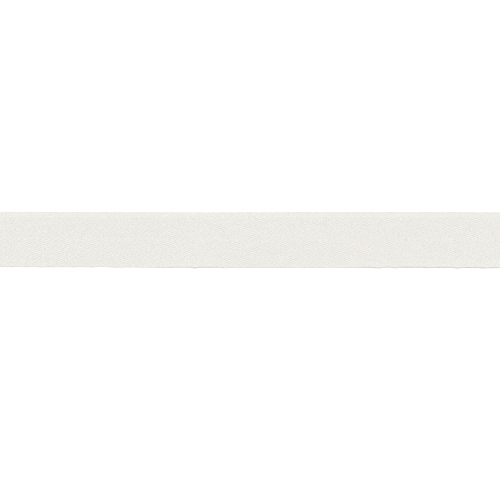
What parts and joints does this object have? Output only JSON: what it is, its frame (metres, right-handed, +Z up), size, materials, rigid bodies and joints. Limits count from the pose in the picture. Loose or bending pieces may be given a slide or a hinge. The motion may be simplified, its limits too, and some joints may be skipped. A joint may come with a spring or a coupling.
{
  "type": "flat cut length of herringbone tape",
  "caption": "Flat cut length of ivory cotton herringbone tape with chevron twill ribs and plain selvedges, for binding, facing, tying and threading through casings.",
  "frame": {"origin": "middle of the tape's overall length and width, on the surface that it lies on", "axes": "+X along the tape, the way the chevrons point; +Y across it, towards the wide smooth selvedge; +Z up, out of the ribbed face"},
  "size_m": [0.24, 0.0254, 0.001],
  "materials": {
    "ivory_cotton": "matt woven cotton with a faint sheen on the warp floats"
  },
  "bodies": {
    "root": {"herringbone_tape": "ivory_cotton"}
  },
  "joints": []
}
